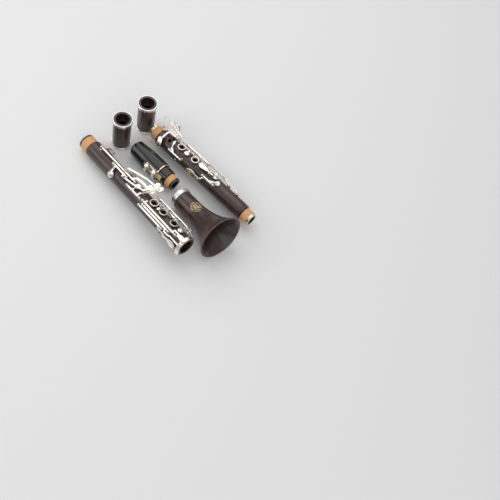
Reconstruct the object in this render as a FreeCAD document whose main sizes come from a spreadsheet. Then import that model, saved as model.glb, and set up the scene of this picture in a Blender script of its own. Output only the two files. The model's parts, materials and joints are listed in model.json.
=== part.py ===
"""A B flat clarinet, taken apart and laid out: mouthpiece, two barrels, two joints and bell.

Each section is modelled along its own X axis, from its bell end to its mouthpiece end, with +Z
through the finger holes and +Y on the player's right.  A place on a section is written as
(along, out, turn): distance along the axis, distance from the axis, and degrees from +Z to +Y.
"""
import FreeCAD
import Part
import math
import os
import re
import types

import Sketcher

Vec = FreeCAD.Vector
X_AXIS = Vec(1, 0, 0)
Y_AXIS = Vec(0, 1, 0)
Z_AXIS = Vec(0, 0, 1)

# ---------------------------------------------------------------------------------- sizes
# Every driving size, in millimetres and degrees.
SIZES = {
    # bore and fits
    "bore_radius": 7.35,
    "cork_depth": 1.3,
    "cork_squeeze": 0.05,
    "running_gap": 0.05,
    "side_gap": 0.4,
    "ring_gap": 0.6,
    # tenons, measured over the cork
    "mouth_tenon_radius": 11.3,
    "mouth_tenon_length": 14.5,
    "top_tenon_radius": 11.3,
    "top_tenon_length": 19.0,
    "middle_tenon_radius": 12.0,
    "middle_tenon_length": 18.5,
    "bell_tenon_radius": 13.3,
    "bell_tenon_length": 19.5,
    "tenon_lip": 3.4,
    "tenon_collar": 2.2,
    "tip_ring_length": 4.4,
    "tip_ring_wall": 1.6,
    # lower joint
    "lower_length": 258.0,
    "lower_radius": 14.8,
    "lower_flare_length": 90.0,
    "lower_flare_radius": 10.6,
    "socket_ring_length": 6.6,
    "socket_ring_radius": 17.0,
    "socket_swell_length": 16.0,
    # upper joint
    "upper_length": 231.0,
    "upper_radius": 13.9,
    "upper_bead_width": 2.6,
    "upper_groove_depth": 0.6,
    "open_hole_along": 39.5,
    "open_hole_turn": -9.0,
    # barrels
    "barrel_length": 65.0,
    "barrel_waist_radius": 15.0,
    "barrel_ring_length": 6.0,
    "barrel_ring_radius": 16.5,
    "ring_wall": 1.5,
    # bell
    "bell_length": 106.0,
    "bell_neck_radius": 16.6,
    "bell_rim_radius": 39.5,
    "bell_wall": 3.2,
    "bell_ring_length": 8.4,
    "bell_ring_radius": 18.0,
    "bell_neck_length": 44.0,
    # mouthpiece
    "mouthpiece_length": 89.0,
    "mouthpiece_radius": 13.9,
    "mouthpiece_tip_radius": 9.5,
    "beak_length": 36.0,
    "tip_height": 3.0,
    "window_length": 34.0,
    "window_width": 12.0,
    "table_height": 10.4,
    "reed_length": 67.5,
    "reed_width": 12.0,
    "reed_heel": 2.9,
    "reed_tip": 0.5,
    "ligature_start": 32.5,
    "ligature_length": 26.0,
    "ligature_wall": 0.8,
    "screw_radius": 1.4,
    "screw_head_radius": 3.2,
    "screw_head_length": 7.0,
    "screw_spacing": 17.0,
    "lug_depth": 5.0,
    "lug_width": 3.4,
    "lug_gap": 3.0,
    "cap_length": 66.0,
    "cap_radius": 16.5,
    "cap_wall": 1.2,
    "cap_over_tip": 6.5,
    "cap_tip_radius": 14.0,
    "cap_slot_length": 31.0,
    "cap_slot_width": 21.4,
    "cap_vent_radius": 2.2,
    "rim_length": 1.6,
    # key work
    "tube_radius": 1.75,
    "rod_radius": 1.0,
    "post_radius": 1.6,
    "ball_radius": 2.3,
    "arm_width": 3.0,
    "arm_height": 2.0,
    "touch_height": 1.5,
    "ring_key_height": 1.7,
    "ring_key_wall": 1.7,
    "cup_height": 1.5,
    "pad_height": 1.3,
    "pad_inset": 0.5,
    "seat_height": 0.5,
    "seat_wall": 1.3,
    "seat_root": 2.5,
    "chimney_height": 3.4,
    "chimney_wall": 1.2,
    "shut_gap": 0.35,
    "pin_radius": 0.8,
    "cheek_thickness": 1.2,
    "spring_radius": 0.3,
    "spring_length": 13.0,
    "spring_drop": 3.1,
    # little-finger touches: size, gap, first one's place, and the height of their levers
    "pinky_width": 7.8,
    "pinky_depth": 11.4,
    "pinky_gap": 0.8,
    "pinky_out": 9.6,
    "pinky_up": 18.8,
    "pinky_low_row": 147.0,
    "pinky_corner": 3.0,
    "lever_up": 22.6,
    "side_lever_width": 2.6,
    "side_plate_width": 4.6,
    "side_knob_radius": 2.8,
    # thumb rest
    "rest_place": 197.0,
    "rest_plate_length": 30.0,
    "rest_plate_angle": 34.0,
    "rest_plate_wall": 1.3,
    "rest_hook_reach": 11.5,
    "rest_hook_width": 13.0,
    "rest_hook_thickness": 3.2,
    "rest_screw_radius": 1.9,
    "rest_screw_spacing": 20.0,
    # layout on the table: where each section's bell end lies, and its heading
    "lower_place_x": -169.0,
    "lower_place_y": -77.6,
    "lower_heading": -3.4,
    "upper_place_x": -116.3,
    "upper_place_y": 22.5,
    "upper_heading": 1.6,
    "bell_place_x": 8.5,
    "bell_place_y": -31.6,
    "bell_heading": -5.8,
    "mouthpiece_place_x": -110.2,
    "mouthpiece_place_y": -22.7,
    "mouthpiece_heading": 0.8,
    "mouthpiece_roll": -95.0,
    "barrel_a_place_x": -139.8,
    "barrel_a_place_y": 25.7,
    "barrel_b_place_x": -139.3,
    "barrel_b_place_y": -28.2,
}

# Finger holes that are open or lie inside a ring: along, turn, hole radius.
HOLES = {
    "lower_ring_3": (173.4, 11.5, 4.2),
    "lower_ring_2": (195.2, 14.0, 4.0),
    "lower_ring_1": (221.4, 15.0, 4.0),
    "upper_ring_2": (63.3, 5.8, 3.6),
    "upper_ring_1": (95.7, 2.8, 3.4),
    "thumb_ring": (98.0, 180.0, 3.6),
}
# Keys that turn on a rod along the joint:
#   rod: turn, height over the wood, start, end of the tube
#   pad: along, turn, cup radius, stand-off when at rest
ROD_KEYS = {
    "e_key": {"rod": (11.0, 5.7, 40.0, 99.6), "pad": (45.5, 72.0, 7.6, 2.0)},
    "f_key": {"rod": (11.0, 5.7, 100.0, 121.0), "pad": (105.0, 76.0, 7.0, 2.0)},
    "a_flat_key": {"rod": (-3.5, 5.7, 78.5, 106.5), "pad": (84.0, -52.0, 6.0, 0.0)},
    "f_sharp_key": {"rod": (-25.0, 6.0, 123.6, 149.4), "pad": (133.0, 12.0, 5.6, 1.6)},
    "lower_ring_key": {"rod": (69.0, 7.7, 167.8, 240.0), "pad": (237.0, 15.6, 5.1, 1.3)},
    "b_natural_key": {"rod": (50.0, 3.6, 203.2, 212.6), "pad": (207.5, 82.0, 4.4, 0.0)},
    "left_f_sharp_lever": {"rod": (-22.0, 6.3, 162.0, 236.4)},
    "left_f_lever": {"rod": (-34.5, 6.3, 167.0, 224.0)},
    "left_e_lever": {"rod": (-47.0, 6.3, 162.0, 212.0)},
    "upper_ring_key": {"rod": (47.0, 6.3, 60.0, 112.0), "pad": (77.5, 1.1, 4.9, 1.3)},
    "c_sharp_key": {"rod": (22.0, 6.5, 28.0, 44.0), "pad": (39.0, 50.0, 4.4, 0.0)},
    "e_flat_sliver_key": {"rod": (-50.0, 5.4, 54.0, 74.0), "pad": (66.0, -88.0, 4.5, 0.0)},
    "g_sharp_key": {"rod": (-32.0, 6.0, 127.0, 145.6), "pad": (151.5, -8.0, 4.7, 0.0)},
    "thumb_ring_key": {"rod": (140.0, 4.6, 79.5, 105.5), "pad": (84.0, 176.0, 4.0, 1.0)},
}
# Keys that see-saw on a cross pin between two cheeks:
#   pivot: along, turn; lever: height over the wood; pad as above.
SAW_KEYS = {
    "a_key": {"pivot": (129.5, 4.0), "lever": 5.2, "pad": (141.0, 17.0, 4.8, 0.0)},
    "register_key": {"pivot": (138.0, 180.0), "lever": 4.6, "pad": (163.0, 180.0, 3.6, 0.0)},
    "side_key_1": {"pivot": (50.0, 105.0), "lever": 6.2, "pad": (68.0, 105.0, 4.4, 0.0)},
    "side_key_2": {"pivot": (78.0, 88.0), "lever": 6.8, "pad": (94.0, 88.0, 4.4, 0.0)},
    "side_key_3": {"pivot": (134.0, 73.5), "lever": 7.2, "pad": (163.0, 77.0, 4.2, 0.0)},
    "side_key_4": {"pivot": (147.0, 59.0), "lever": 7.2, "pad": (184.0, 47.0, 4.2, 0.0)},
}
# Tips of the four side touches: along, to the right of the axis, over the axis.
SIDE_TOUCHES = {
    "side_key_1": (24.0, 37.0, 0.8),
    "side_key_2": (16.0, 34.0, 6.4),
    "side_key_3": (9.5, 28.5, 11.8),
    "side_key_4": (3.5, 23.5, 17.0),
}

doc = FreeCAD.newDocument("Clarinet")
sheet = doc.addObject("Spreadsheet::Sheet", "Sizes")


def fill_sheet():
    """Write every driving size into the spreadsheet, one aliased cell each."""
    rows = dict(SIZES)
    for name, values in HOLES.items():
        rows.update(zip([name + "_along", name + "_turn", name + "_hole"], values))
    for name, parts in ROD_KEYS.items():
        rod_cells = ["_rod_turn", "_rod_height", "_rod_start", "_rod_end"]
        rows.update(zip([name + cell for cell in rod_cells], parts["rod"]))
    for name, parts in SAW_KEYS.items():
        rows.update(zip([name + "_pivot_along", name + "_pivot_turn"], parts["pivot"]))
        rows[name + "_lever_height"] = parts["lever"]
    for name, parts in list(ROD_KEYS.items()) + list(SAW_KEYS.items()):
        pad_cells = ["_pad_along", "_pad_turn", "_cup", "_stand_off"]
        rows.update(zip([name + cell for cell in pad_cells], parts.get("pad", ())))
    for name, tip in SIDE_TOUCHES.items():
        rows.update(zip([name + "_tip_along", name + "_tip_right", name + "_tip_up"], tip))
    for number, (alias, value) in enumerate(rows.items(), start=1):
        sheet.set("A%d" % number, alias)
        sheet.set("B%d" % number, str(value))
        sheet.setAlias("B%d" % number, alias)
    doc.recompute()
    return types.SimpleNamespace(**{alias: float(sheet.get(alias)) for alias in rows})


size = fill_sheet()


def cell(name):
    return getattr(size, name)


def bind(text):
    """An expression over the spreadsheet's aliases."""
    return re.sub(r"[a-z][a-z_0-9]+", lambda word: "Sizes." + word.group(), text)


# ------------------------------------------------------------------------ small geometry
def polar(along, out, turn):
    angle = math.radians(turn)
    return Vec(along, out * math.sin(angle), out * math.cos(angle))


def outward(turn):
    return polar(0, 1, turn)


def sideways(turn):
    """The direction round the joint, towards growing turn."""
    return polar(0, 1, turn + 90)


def rod_shape(along_start, along_end, out, turn, radius):
    return Part.makeCylinder(radius, along_end - along_start, polar(along_start, out, turn), X_AXIS)


def tube_shape(along_start, along_end, out, turn, radius, hole):
    outer = rod_shape(along_start, along_end, out, turn, radius)
    return outer.cut(rod_shape(along_start, along_end, out, turn, hole))


def disc(along, out, turn, radius, height):
    """A disc that stands on a plane across the direction `turn`, its base `out` from the axis."""
    return Part.makeCylinder(radius, height, polar(along, out, turn), outward(turn))


def bar(start, end, width, height, up):
    """A straight flat bar between two points, its flat side facing `up`."""
    run = end.sub(start)
    box = Part.makeBox(run.Length, width, height, Vec(0, -width / 2, -height / 2))
    box.Placement = FreeCAD.Placement(start, FreeCAD.Rotation(run, Vec(), up, "XZY"))
    return box


BOSS_PROUD = 0.08


def bars(points, width, height, up):
    """A bent arm through points, with a round boss at each bend."""
    pieces = []
    for start, end in zip(points, points[1:]):
        pieces.append(bar(start, end, width, height, up))
    thick = height + 2 * BOSS_PROUD
    for point in points[1:-1]:
        foot = point.sub(Vec(up).normalize().multiply(thick / 2))
        pieces.append(Part.makeCylinder(width / 2 + BOSS_PROUD, thick, foot, up))
    return pieces


def shell(along_start, along_end, out_inner, out_outer, turn_start, turn_end):
    """A strip that wraps round the joint between two turns."""
    run = along_end - along_start
    wedge = Part.makeCylinder(out_outer, run, Vec(), Z_AXIS, turn_end - turn_start)
    core = Part.makeCylinder(out_inner, run)
    strip = wedge.cut(core)
    aim = FreeCAD.Rotation(outward(turn_start), sideways(turn_start), Vec(-1, 0, 0), "XYZ")
    strip.Placement = FreeCAD.Placement(Vec(along_end, 0, 0), aim)
    return strip


def leaf(points, out_inner, out_outer, turn):
    """A smooth closed outline, drawn flat across `turn` as (along, side), bent round the joint."""
    up = outward(turn)
    side = sideways(turn)
    knots = [Vec(along, 0, 0).add(Vec(side).multiply(offset)) for along, offset in points]
    curve = Part.BSplineCurve()
    curve.interpolate(knots, PeriodicFlag=True)
    face = Part.Face(Part.Wire([curve.toShape()]))
    prism = face.extrude(Vec(up).multiply(out_outer + 5))
    low = min(along for along, offset in points) - 5
    high = max(along for along, offset in points) + 5
    outer = Part.makeCylinder(out_outer, high - low, Vec(low, 0, 0), X_AXIS)
    inner = Part.makeCylinder(out_inner, high - low, Vec(low, 0, 0), X_AXIS)
    return prism.common(outer.cut(inner))


def fuse(pieces):
    whole = pieces[0]
    for piece in pieces[1:]:
        whole = whole.fuse(piece)
    return whole


# -------------------------------------------------------------------------------- sections
def section(place_x, place_y, height, heading, roll=0.0, pitch=0.0):
    turn = FreeCAD.Rotation(Z_AXIS, heading)
    tilt = FreeCAD.Rotation(Y_AXIS, -pitch)
    twist = FreeCAD.Rotation(X_AXIS, roll)
    return FreeCAD.Placement(Vec(place_x, place_y, height), turn.multiply(tilt).multiply(twist))


REST_OUT = size.lower_radius + size.rest_plate_wall + size.rest_hook_reach
REST_ALONG = size.rest_place - size.rest_hook_thickness / 2
LOWER_PITCH = math.degrees(math.atan2(REST_OUT - size.lower_radius,
                                      REST_ALONG - size.bell_tenon_length))
LOWER_HEIGHT = (size.lower_radius * math.cos(math.radians(LOWER_PITCH))
                - size.bell_tenon_length * math.sin(math.radians(LOWER_PITCH)))
UPPER_HEIGHT = size.upper_radius + size.register_key_lever_height + size.arm_height / 2 + 0.7
BELL_PITCH = math.degrees(math.atan2(size.bell_rim_radius - size.bell_ring_radius, size.bell_length))
BELL_HEIGHT = size.bell_ring_radius * math.cos(math.radians(BELL_PITCH))

SECTIONS = {
    "lower": section(size.lower_place_x, size.lower_place_y, LOWER_HEIGHT, size.lower_heading,
                     pitch=LOWER_PITCH),
    "upper": section(size.upper_place_x, size.upper_place_y, UPPER_HEIGHT, size.upper_heading),
    "bell": section(size.bell_place_x, size.bell_place_y, BELL_HEIGHT, size.bell_heading,
                    pitch=BELL_PITCH),
    "mouthpiece": section(size.mouthpiece_place_x, size.mouthpiece_place_y, size.cap_radius,
                          size.mouthpiece_heading, roll=size.mouthpiece_roll),
    "barrel_a": section(size.barrel_a_place_x, size.barrel_a_place_y, 0, 0, pitch=90),
    "barrel_b": section(size.barrel_b_place_x, size.barrel_b_place_y, 0, 0, pitch=90),
}
nodes = {}


def keep(label, holder, section_name):
    """Name a sub-part and lay it where its section lies."""
    holder.Label = label
    holder.Placement = SECTIONS[section_name].multiply(holder.Placement)
    nodes[label] = holder


def keep_shape(label, shape, section_name):
    holder = doc.addObject("Part::Feature", label)
    holder.Shape = shape
    keep(label, holder, section_name)


def origin_plane(body, role):
    for feature in body.Origin.OriginFeatures:
        if feature.Role == role:
            return feature
    raise ValueError("no plane " + role)


def turned(label, section_name, outline):
    """A body turned about X: outline is a closed list of (along, out) expressions."""
    body = doc.addObject("PartDesign::Body", label)
    sketch = body.newObject("Sketcher::SketchObject", label + "_outline")
    sketch.AttachmentSupport = [(origin_plane(body, "XZ_Plane"), "")]
    sketch.MapMode = "FlatFace"
    count = len(outline)
    for index in range(count):
        here = Vec(10 + index, 10 + index % 2, 0)
        there = Vec(10 + (index + 1) % count, 10 + (index + 1) % count % 2, 0)
        sketch.addGeometry(Part.LineSegment(here, there), False)
    for index in range(count):
        sketch.addConstraint(Sketcher.Constraint("Coincident", index, 2, (index + 1) % count, 1))
    for index, (along, out) in enumerate(outline):
        if along == "0":
            sketch.addConstraint(Sketcher.Constraint("PointOnObject", index, 1, -2))
        else:
            spot = sketch.addConstraint(Sketcher.Constraint("DistanceX", -1, 1, index, 1, 10 + index))
            sketch.setExpression("Constraints[%d]" % spot, bind(along))
        spot = sketch.addConstraint(Sketcher.Constraint("DistanceY", -1, 1, index, 1, 10))
        sketch.setExpression("Constraints[%d]" % spot, bind(out))
    doc.recompute()
    turn = body.newObject("PartDesign::Revolution", label + "_turned")
    turn.Profile = sketch
    turn.ReferenceAxis = (sketch, ["H_Axis"])
    turn.Angle = 360
    body.Tip = turn
    doc.recompute()
    keep(label, body, section_name)
    return body


def add_disc(body, name, radius_text, along, out, turn, height):
    """Add a turned seat or chimney that stands on the wood."""
    feature = body.newObject("PartDesign::AdditiveCylinder", name)
    feature.setExpression("Radius", bind(radius_text))
    feature.Height = height
    aim = FreeCAD.Rotation(Z_AXIS, outward(turn))
    feature.Placement = FreeCAD.Placement(polar(along, out, turn), aim)
    body.Tip = feature


def bore_hole(body, name, radius_text, along, turn, depth):
    """Bore a tone hole from the outside into the main bore."""
    feature = body.newObject("PartDesign::SubtractiveCylinder", name)
    feature.setExpression("Radius", bind(radius_text))
    feature.Height = depth
    aim = FreeCAD.Rotation(Z_AXIS, outward(turn))
    feature.Placement = FreeCAD.Placement(polar(along, 0, turn), aim)
    body.Tip = feature


# ------------------------------------------------------------------------------- wood work
def cork(label, section_name, start, end, radius):
    seat = "%s - cork_depth" % radius
    return turned(label, section_name, [
        (start, seat), (end, seat), (end, radius), (start, radius)])


def keyed_joint(body, radius, ringed_holes, key_names):
    """Chimneys inside the rings, seats under the pads, and a bored hole through each."""
    for name in ringed_holes:
        add_disc(body, name + "_chimney", name + "_hole + chimney_wall", cell(name + "_along"),
                 radius - size.seat_root, cell(name + "_turn"), size.seat_root + size.chimney_height)
    for name in key_names:
        add_disc(body, name + "_seat", name + "_cup - pad_inset - seat_wall / 2",
                 cell(name + "_pad_along"), radius - size.seat_root, cell(name + "_pad_turn"),
                 size.seat_root + size.seat_height)
    for name in ringed_holes:
        bore_hole(body, name + "_bore", name + "_hole", cell(name + "_along"),
                  cell(name + "_turn"), radius + size.chimney_height + 1)
    for name in key_names:
        bore_hole(body, name + "_bore", name + "_cup - pad_inset - seat_wall * 1.5",
                  cell(name + "_pad_along"), cell(name + "_pad_turn"), radius + 2)
    doc.recompute()


LOWER_PAD_KEYS = ["e_key", "f_key", "a_flat_key", "f_sharp_key", "lower_ring_key", "b_natural_key"]
UPPER_PAD_KEYS = ["upper_ring_key", "c_sharp_key", "e_flat_sliver_key", "g_sharp_key",
                  "thumb_ring_key", "a_key", "side_key_1", "side_key_2", "side_key_3", "side_key_4"]


def make_lower_wood():
    body = turned("lower_joint", "lower", [
        ("0", "lower_flare_radius"),
        ("0", "bell_tenon_radius"),
        ("tenon_lip", "bell_tenon_radius"),
        ("tenon_lip", "bell_tenon_radius - cork_depth"),
        ("bell_tenon_length - tenon_collar", "bell_tenon_radius - cork_depth"),
        ("bell_tenon_length - tenon_collar", "bell_tenon_radius"),
        ("bell_tenon_length", "bell_tenon_radius"),
        ("bell_tenon_length", "lower_radius"),
        ("lower_length - socket_swell_length", "lower_radius"),
        ("lower_length - socket_ring_length", "socket_ring_radius - ring_wall"),
        ("lower_length", "socket_ring_radius - ring_wall"),
        ("lower_length", "middle_tenon_radius + cork_squeeze"),
        ("lower_length - middle_tenon_length", "middle_tenon_radius + cork_squeeze"),
        ("lower_length - middle_tenon_length", "bore_radius"),
        ("lower_flare_length", "bore_radius")])
    rings = ["lower_ring_3", "lower_ring_2", "lower_ring_1"]
    keyed_joint(body, size.lower_radius, rings, LOWER_PAD_KEYS)
    cork("bell_tenon_cork", "lower", "tenon_lip", "bell_tenon_length - tenon_collar",
         "bell_tenon_radius")
    turned("lower_socket_ring", "lower", [
        ("lower_length - socket_ring_length", "socket_ring_radius - ring_wall"),
        ("lower_length", "socket_ring_radius - ring_wall"),
        ("lower_length", "socket_ring_radius - ring_wall / 3"),
        ("lower_length - ring_wall / 3", "socket_ring_radius"),
        ("lower_length - socket_ring_length + ring_wall / 3", "socket_ring_radius"),
        ("lower_length - socket_ring_length", "socket_ring_radius - ring_wall / 3")])
    return body


def make_upper_wood():
    body = turned("upper_joint", "upper", [
        ("0", "bore_radius"),
        ("0", "middle_tenon_radius - tip_ring_wall"),
        ("tip_ring_length", "middle_tenon_radius - tip_ring_wall"),
        ("tip_ring_length", "middle_tenon_radius - cork_depth"),
        ("middle_tenon_length - tenon_collar", "middle_tenon_radius - cork_depth"),
        ("middle_tenon_length - tenon_collar", "middle_tenon_radius"),
        ("middle_tenon_length", "middle_tenon_radius"),
        ("middle_tenon_length", "upper_radius"),
        ("upper_length - top_tenon_length - upper_bead_width * 2", "upper_radius"),
        ("upper_length - top_tenon_length - upper_bead_width * 1.5",
         "upper_radius - upper_groove_depth"),
        ("upper_length - top_tenon_length - upper_bead_width", "upper_radius"),
        ("upper_length - top_tenon_length", "upper_radius"),
        ("upper_length - top_tenon_length", "top_tenon_radius"),
        ("upper_length - top_tenon_length + tenon_collar", "top_tenon_radius"),
        ("upper_length - top_tenon_length + tenon_collar", "top_tenon_radius - cork_depth"),
        ("upper_length - tip_ring_length", "top_tenon_radius - cork_depth"),
        ("upper_length - tip_ring_length", "top_tenon_radius - tip_ring_wall"),
        ("upper_length", "top_tenon_radius - tip_ring_wall"),
        ("upper_length", "bore_radius")])
    keyed_joint(body, size.upper_radius, ["upper_ring_2", "upper_ring_1"], UPPER_PAD_KEYS)
    bore_hole(body, "open_hole", "upper_ring_1_hole", size.open_hole_along, size.open_hole_turn,
              size.upper_radius + 1)
    bore_hole(body, "thumb_bore", "thumb_ring_hole + tip_ring_wall", cell("thumb_ring_along"),
              cell("thumb_ring_turn"), size.upper_radius + 1)
    bore_hole(body, "register_bore", "register_key_cup - seat_wall", cell("register_key_pad_along"),
              cell("register_key_pad_turn"), size.upper_radius + 1)
    doc.recompute()
    cork("middle_tenon_cork", "upper", "tip_ring_length", "middle_tenon_length - tenon_collar",
         "middle_tenon_radius")
    cork("top_tenon_cork", "upper", "upper_length - top_tenon_length + tenon_collar",
         "upper_length - tip_ring_length", "top_tenon_radius")
    turned("middle_tenon_tip", "upper", [
        ("0", "middle_tenon_radius - tip_ring_wall"),
        ("tip_ring_length", "middle_tenon_radius - tip_ring_wall"),
        ("tip_ring_length", "middle_tenon_radius - cork_squeeze * 2"),
        ("tip_ring_wall / 2", "middle_tenon_radius - cork_squeeze * 2"),
        ("0", "middle_tenon_radius - tip_ring_wall / 2")])
    turned("top_tenon_tip", "upper", [
        ("upper_length - tip_ring_length", "top_tenon_radius - tip_ring_wall"),
        ("upper_length", "top_tenon_radius - tip_ring_wall"),
        ("upper_length", "top_tenon_radius - tip_ring_wall / 2"),
        ("upper_length - tip_ring_wall / 2", "top_tenon_radius - cork_squeeze * 2"),
        ("upper_length - tip_ring_length", "top_tenon_radius - cork_squeeze * 2")])
    return body




def make_tubes():
    """The thumb-hole tube and the register vent, pressed into the upper joint."""
    pieces = []
    thumb_out = size.bore_radius + 0.4
    thumb_top = size.upper_radius + 2.4
    hole = cell("thumb_ring_hole")
    along = cell("thumb_ring_along")
    turn = cell("thumb_ring_turn")
    outer = disc(along, thumb_out, turn, hole + size.tip_ring_wall, thumb_top - thumb_out)
    pieces.append(outer.cut(disc(along, 0, turn, hole, thumb_top + 1)))
    along = cell("register_key_pad_along")
    turn = cell("register_key_pad_turn")
    radius = cell("register_key_cup") - size.seat_wall
    top = size.upper_radius + size.seat_height
    vent = disc(along, size.bore_radius - 1.5, turn, radius, top - size.bore_radius + 1.5)
    pieces.append(vent.cut(disc(along, 0, turn, radius - 0.8, top + 1)))
    keep_shape("thumb_and_register_tubes", Part.makeCompound(pieces), "upper")


def make_barrel(name):
    turned(name, name, [
        ("0", "top_tenon_radius + cork_squeeze"),
        ("0", "barrel_ring_radius - ring_wall"),
        ("barrel_ring_length", "barrel_ring_radius - ring_wall"),
        ("barrel_ring_length * 1.4", "barrel_waist_radius"),
        ("barrel_length - barrel_ring_length * 1.4", "barrel_waist_radius"),
        ("barrel_length - barrel_ring_length", "barrel_ring_radius - ring_wall"),
        ("barrel_length", "barrel_ring_radius - ring_wall"),
        ("barrel_length", "mouth_tenon_radius + cork_squeeze"),
        ("barrel_length - mouth_tenon_length", "mouth_tenon_radius + cork_squeeze"),
        ("barrel_length - mouth_tenon_length", "bore_radius"),
        ("top_tenon_length", "bore_radius"),
        ("top_tenon_length", "top_tenon_radius + cork_squeeze")])
    inner = size.barrel_ring_radius - size.ring_wall
    bevel = size.ring_wall / 3
    rings = []
    for start in (0, size.barrel_length - size.barrel_ring_length):
        end = start + size.barrel_ring_length
        rings.append(turned_shape([
            (start, inner), (end, inner), (end, size.barrel_ring_radius - bevel),
            (end - bevel, size.barrel_ring_radius), (start + bevel, size.barrel_ring_radius),
            (start, size.barrel_ring_radius - bevel)]))
    keep_shape(name + "_rings", Part.makeCompound(rings), name)


def flare(along):
    """Outer radius of the bell: a straight neck, then an exponential flare to the rim."""
    start = size.bell_neck_length
    share = max(0.0, (along - start) / (size.bell_length - start))
    growth = (math.exp(2.2 * share) - 1) / (math.exp(2.2) - 1)
    return size.bell_neck_radius + (size.bell_rim_radius - size.bell_neck_radius) * growth


def make_bell():
    """The flare is a formula curve, so the bell is a revolved face."""
    length = size.bell_length
    socket = size.bell_tenon_radius + size.cork_squeeze
    depth = size.bell_tenon_length
    seat = size.bell_ring_radius - size.ring_wall
    steps = 8
    start = size.bell_neck_length
    spots = [start + (length - start) * step / steps for step in range(steps + 1)]
    outer = Part.BSplineCurve()
    outer.interpolate([Vec(spot, 0, flare(spot)) for spot in spots])
    inner = Part.BSplineCurve()
    thin = [depth] + spots[1:]
    inner_out = [size.lower_flare_radius] + [flare(spot) - size.bell_wall for spot in spots[1:]]
    inner.interpolate([Vec(spot, 0, out) for spot, out in zip(thin, inner_out)])
    points = [
        Vec(start, 0, flare(start)), Vec(size.bell_ring_length, 0, size.bell_neck_radius),
        Vec(size.bell_ring_length, 0, seat), Vec(0, 0, seat), Vec(0, 0, socket),
        Vec(depth, 0, socket), Vec(depth, 0, size.lower_flare_radius)]
    edges = [Part.LineSegment(a, b).toShape() for a, b in zip(points, points[1:])]
    edges.append(inner.toShape())
    edges.append(Part.LineSegment(inner.EndPoint, outer.EndPoint).toShape())
    edges.append(outer.toShape())
    face = Part.Face(Part.Wire(Part.__sortEdges__(edges)))
    keep_shape("bell", face.revolve(Vec(0, 0, 0), X_AXIS, 360), "bell")
    turned("bell_ring", "bell", [
        ("0", "bell_ring_radius - ring_wall"),
        ("bell_ring_length", "bell_ring_radius - ring_wall"),
        ("bell_ring_length", "bell_ring_radius - ring_wall / 3"),
        ("bell_ring_length - ring_wall / 3", "bell_ring_radius"),
        ("ring_wall / 3", "bell_ring_radius"),
        ("0", "bell_ring_radius - ring_wall / 3")])


# -------------------------------------------------------------------------- mouthpiece group
MOUTH_START = size.cap_over_tip
MOUTH_END = MOUTH_START + size.mouthpiece_length


def side_prism(corners, width):
    """A prism across the section, from (along, up) corners."""
    points = [Vec(along, -width / 2, up) for along, up in corners]
    return Part.Face(Part.makePolygon(points + points[:1])).extrude(Vec(0, width, 0))


def turned_shape(corners):
    """A solid turned about X from (along, out) corners."""
    points = [Vec(along, 0, out) for along, out in corners]
    return Part.Face(Part.makePolygon(points + points[:1])).revolve(Vec(0, 0, 0), X_AXIS, 360)


def make_mouthpiece():
    """Turned blank, slanted beak, flat table with its window, and a bore to the tenon."""
    shoulder = MOUTH_END - size.mouth_tenon_length
    lip = size.tenon_lip
    seat = size.mouth_tenon_radius - size.cork_depth
    beak_end = MOUTH_START + size.beak_length
    blank = turned_shape([
        (MOUTH_START, 0), (MOUTH_START, size.mouthpiece_tip_radius),
        (beak_end, size.mouthpiece_radius), (shoulder, size.mouthpiece_radius),
        (shoulder, size.mouth_tenon_radius), (shoulder + 1, size.mouth_tenon_radius),
        (shoulder + 1, seat), (MOUTH_END - lip, seat),
        (MOUTH_END - lip, size.mouth_tenon_radius - 0.2),
        (MOUTH_END, size.mouth_tenon_radius - 0.2), (MOUTH_END, 0)])
    table = -size.table_height
    high = size.mouthpiece_radius * 3
    wide = size.mouthpiece_radius * 4
    below = side_prism([(MOUTH_START - 1, table), (shoulder - 6, table), (shoulder - 6, table - high),
                        (MOUTH_START - 1, table - high)], wide)
    slant = (size.mouthpiece_radius - table - size.tip_height) / (size.beak_length + 3)
    beak = side_prism([(MOUTH_START - 1, table + size.tip_height - slant),
                       (beak_end + 4, size.mouthpiece_radius + slant),
                       (beak_end + 4, high), (MOUTH_START - 1, high)], wide)
    bore = Part.makeCylinder(size.bore_radius, MOUTH_END,
                             Vec(MOUTH_START + size.window_length, 0, 0), X_AXIS)
    window_end = MOUTH_START + size.window_length + 4
    roof = table + size.tip_height - 1.4 + slant * size.window_length * 0.7
    window = side_prism([(MOUTH_START + 2, table - 1), (window_end, table - 1), (window_end, roof),
                         (MOUTH_START + 2, table + size.tip_height - 1.4)], size.window_width - 1.5)
    body = blank.cut(below).cut(beak).cut(bore.fuse(window))
    keep_shape("mouthpiece", body, "mouthpiece")
    keep_shape("mouthpiece_cork", turned_shape([
        (shoulder + 1, seat), (MOUTH_END - lip, seat), (MOUTH_END - lip, size.mouth_tenon_radius),
        (shoulder + 1, size.mouth_tenon_radius)]), "mouthpiece")


def make_reed():
    """A wedge of cane with a round back, flat against the table."""
    table = -size.table_height
    start = MOUTH_START + 0.5
    profile = Part.makePolygon([
        Vec(start, -size.reed_width / 2, table), Vec(start, -size.reed_width / 2, table - size.reed_tip),
        Vec(start + size.reed_length * 0.5, -size.reed_width / 2, table - size.reed_heel),
        Vec(start + size.reed_length, -size.reed_width / 2, table - size.reed_heel),
        Vec(start + size.reed_length, -size.reed_width / 2, table),
        Vec(start, -size.reed_width / 2, table)])
    wedge = Part.Face(profile).extrude(Vec(0, size.reed_width, 0))
    back = Part.makeCylinder(size.table_height + size.reed_heel, size.reed_length + 2,
                             Vec(start - 1, 0, 0), X_AXIS)
    keep_shape("reed", wedge.common(back), "mouthpiece")


def band_section(out):
    """The ligature's ring outline: round over the mouthpiece, and clear of the reed's back."""
    return Part.makeCylinder(out, size.ligature_length,
                             Vec(MOUTH_START + size.ligature_start, 0, 0), X_AXIS)


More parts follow.
